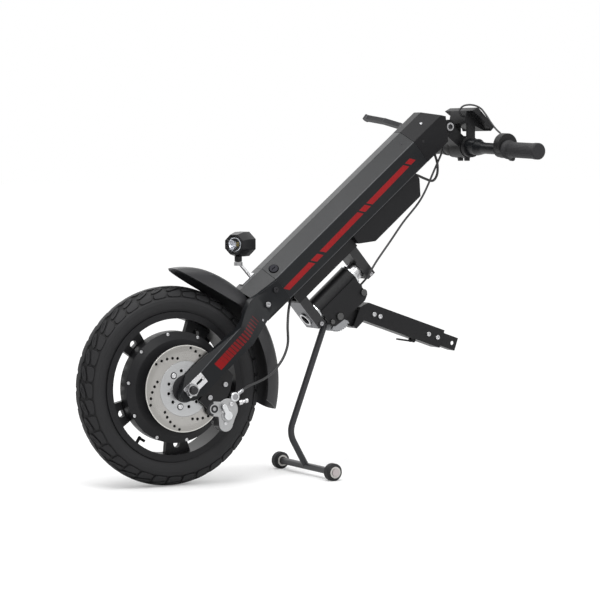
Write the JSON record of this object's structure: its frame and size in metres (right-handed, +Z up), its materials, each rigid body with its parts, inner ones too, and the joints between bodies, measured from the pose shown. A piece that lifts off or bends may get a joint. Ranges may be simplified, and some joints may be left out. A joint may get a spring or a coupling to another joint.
{
  "type": "wheelchair power assist",
  "caption": "Electric front drive that docks to a manual wheelchair: hub-motor wheel, battery beam, steering head, docking arm, stand with rollers and handlebar",
  "frame": {"origin": "on the floor at the middle of the length, in the wheel's mid plane", "axes": "+X points back to the rider, +Y to the rider's right, +Z up"},
  "size_m": [0.8749, 0.5166, 0.7104],
  "materials": {
    "frame_black": "satin black paint",
    "cap_black": "moulded black plastic",
    "wheel_black": "semi-gloss black casting",
    "battery_wrap": "blue shrink wrap",
    "head_grey": "machined grey",
    "bright_chrome": "polished",
    "steel": "zinc-plated steel",
    "hardware_black": "black oxide",
    "disc_steel": "ground steel",
    "carrier_alloy": "turned aluminium",
    "caliper_silver": "silver casting",
    "pad_compound": "friction compound",
    "tyre_rubber": "tyre rubber",
    "rubber_black": "soft black rubber",
    "cable_black": "cable sleeve",
    "stand_black": "matt black paint",
    "bar_black": "gloss black",
    "lens_clear": "clear lens",
    "screen_dark": "dark glossy window",
    "copper": "wound copper"
  },
  "bodies": {
    "frame": {"beam_shell": "frame_black", "beam_upper_cap": "cap_black", "fork_crown": "frame_black", "battery_pack": "battery_wrap", "mount_rail": "frame_black", "controller_case": "cap_black", "head_clamps": "head_grey", "steerer": "steel", "frame_bolts": "steel", "fork_leg_left": "frame_black", "fork_leg_right": "frame_black", "axle": "steel", "axle_nuts": "hardware_black", "torque_plates": "steel", "motor_stator": "copper", "mudguard": "cap_black", "caliper_bracket": "frame_black", "caliper_body": "caliper_silver", "inner_pad": "pad_compound", "brake_hose": "cable_black", "lamp_bracket": "bright_chrome", "harness_cable": "cable_black", "release_cable": "cable_black"},
    "key": {"key_switch": "hardware_black"},
    "caliper_lever": {"caliper_arm": "caliper_silver"},
    "brake_pad": {"outer_pad": "pad_compound"},
    "lamp": {"lamp_housing": "cap_black", "lamp_lens": "lens_clear"},
    "wheel": {"tyre": "tyre_rubber", "valve_stem": "rubber_black", "wheel_rim": "wheel_black", "motor_cover_left": "wheel_black", "motor_cover_right": "wheel_black", "wheel_screws": "steel", "magnet_ring": "steel", "wheel_bearings": "steel", "brake_disc": "disc_steel", "disc_carrier": "carrier_alloy"},
    "coupling": {"steering_bracket": "frame_black", "head_bearings": "bright_chrome", "bracket_bolts": "steel"},
    "arm": {"arm_sleeve": "frame_black", "index_plates": "steel", "arm_bolts": "steel"},
    "arm_slider": {"arm_tube": "frame_black"},
    "latch": {"arm_latch": "frame_black"},
    "stand": {"stand_leg": "stand_black"},
    "left_roller": {"roller_left": "rubber_black"},
    "right_roller": {"roller_right": "rubber_black"},
    "bars": {"stem": "frame_black", "handlebar": "bar_black", "grip_left": "rubber_black", "grip_right": "rubber_black", "throttle_housing": "cap_black", "lever_perch": "bar_black", "display_housing": "cap_black", "display_screen": "screen_dark", "display_cable": "cable_black"},
    "throttle": {"throttle_paddle": "cap_black"},
    "lever": {"brake_lever": "bar_black"}
  },
  "joints": [
    {"name": "wheel_spin", "type": "hinge", "parent": "frame", "child": "wheel", "pos_m": [-0.2525, 0, 0.185], "axis": [0, 1, 0], "continuous": true},
    {"name": "steering", "type": "hinge", "parent": "frame", "child": "coupling", "pos_m": [0.09656, 0, 0.3454], "axis": [0.766, 0, 0.6428], "range_deg": [-35, 35], "deforming": ["release_cable"]},
    {"name": "arm_angle", "type": "hinge", "parent": "coupling", "child": "arm", "pos_m": [0.09958, 0, 0.3029], "axis": [0, 1, 0], "range_deg": [-12, 12]},
    {"name": "arm_slide", "type": "slide", "parent": "arm", "child": "arm_slider", "axis": [0.9455, 0, -0.3256], "range_m": [-0.025, 0.05]},
    {"name": "latch_release", "type": "hinge", "parent": "arm", "child": "latch", "pos_m": [0.27845, 0, 0.24798], "axis": [0, -1, 0], "range_deg": [0, 25], "stiffness_Nm_per_rad": 0.05},
    {"name": "stand_fold", "type": "hinge", "parent": "coupling", "child": "stand", "pos_m": [0.0831, 0, 0.29299], "axis": [0, -1, 0], "range_deg": [0, 60]},
    {"name": "left_roller_spin", "type": "hinge", "parent": "stand", "child": "left_roller", "pos_m": [0.0401, -0.101, 0.0165], "axis": [0, 1, 0], "continuous": true},
    {"name": "right_roller_spin", "type": "hinge", "parent": "stand", "child": "right_roller", "pos_m": [0.0401, 0.101, 0.0165], "axis": [0, 1, 0], "continuous": true},
    {"name": "stem_fold", "type": "hinge", "parent": "frame", "child": "bars", "pos_m": [0.34566, 0, 0.66538], "axis": [0, 1, 0], "range_deg": [-30, 20]},
    {"name": "brake_pull", "type": "hinge", "parent": "bars", "child": "lever", "pos_m": [0.3648, 0.12401, 0.65218], "axis": [-0.6293, 0, -0.7771], "range_deg": [0, 15], "stiffness_Nm_per_rad": 1},
    {"name": "caliper_pull", "type": "hinge", "parent": "frame", "child": "caliper_lever", "pos_m": [-0.17199, -0.0835, 0.13271], "axis": [0, 1, 0], "range_deg": [0, 20]},
    {"name": "pad_press", "type": "slide", "parent": "frame", "child": "brake_pad", "axis": [0, 1, 0], "range_m": [0, 0.0005]},
    {"name": "throttle_push", "type": "hinge", "parent": "bars", "child": "throttle", "pos_m": [0.39666, 0, 0.62638], "axis": [0, 0.9994, 0.0349], "range_deg": [0, 40], "stiffness_Nm_per_rad": 0.1},
    {"name": "lamp_swivel", "type": "hinge", "parent": "frame", "child": "lamp", "pos_m": [-0.10641, 0, 0.41071], "axis": [0, 0, 1], "range_deg": [-65, 15]},
    {"name": "key_turn", "type": "hinge", "parent": "frame", "child": "key", "pos_m": [-0.04439, -0.025, 0.39748], "axis": [-0.4723, -0.6783, 0.5629], "range_deg": [0, 90]}
  ],
  "couplings": [
    {"joint": "caliper_pull", "follows": "brake_pull", "ratio": 1.2},
    {"joint": "pad_press", "follows": "brake_pull", "m_per_rad": 0.0018}
  ]
}
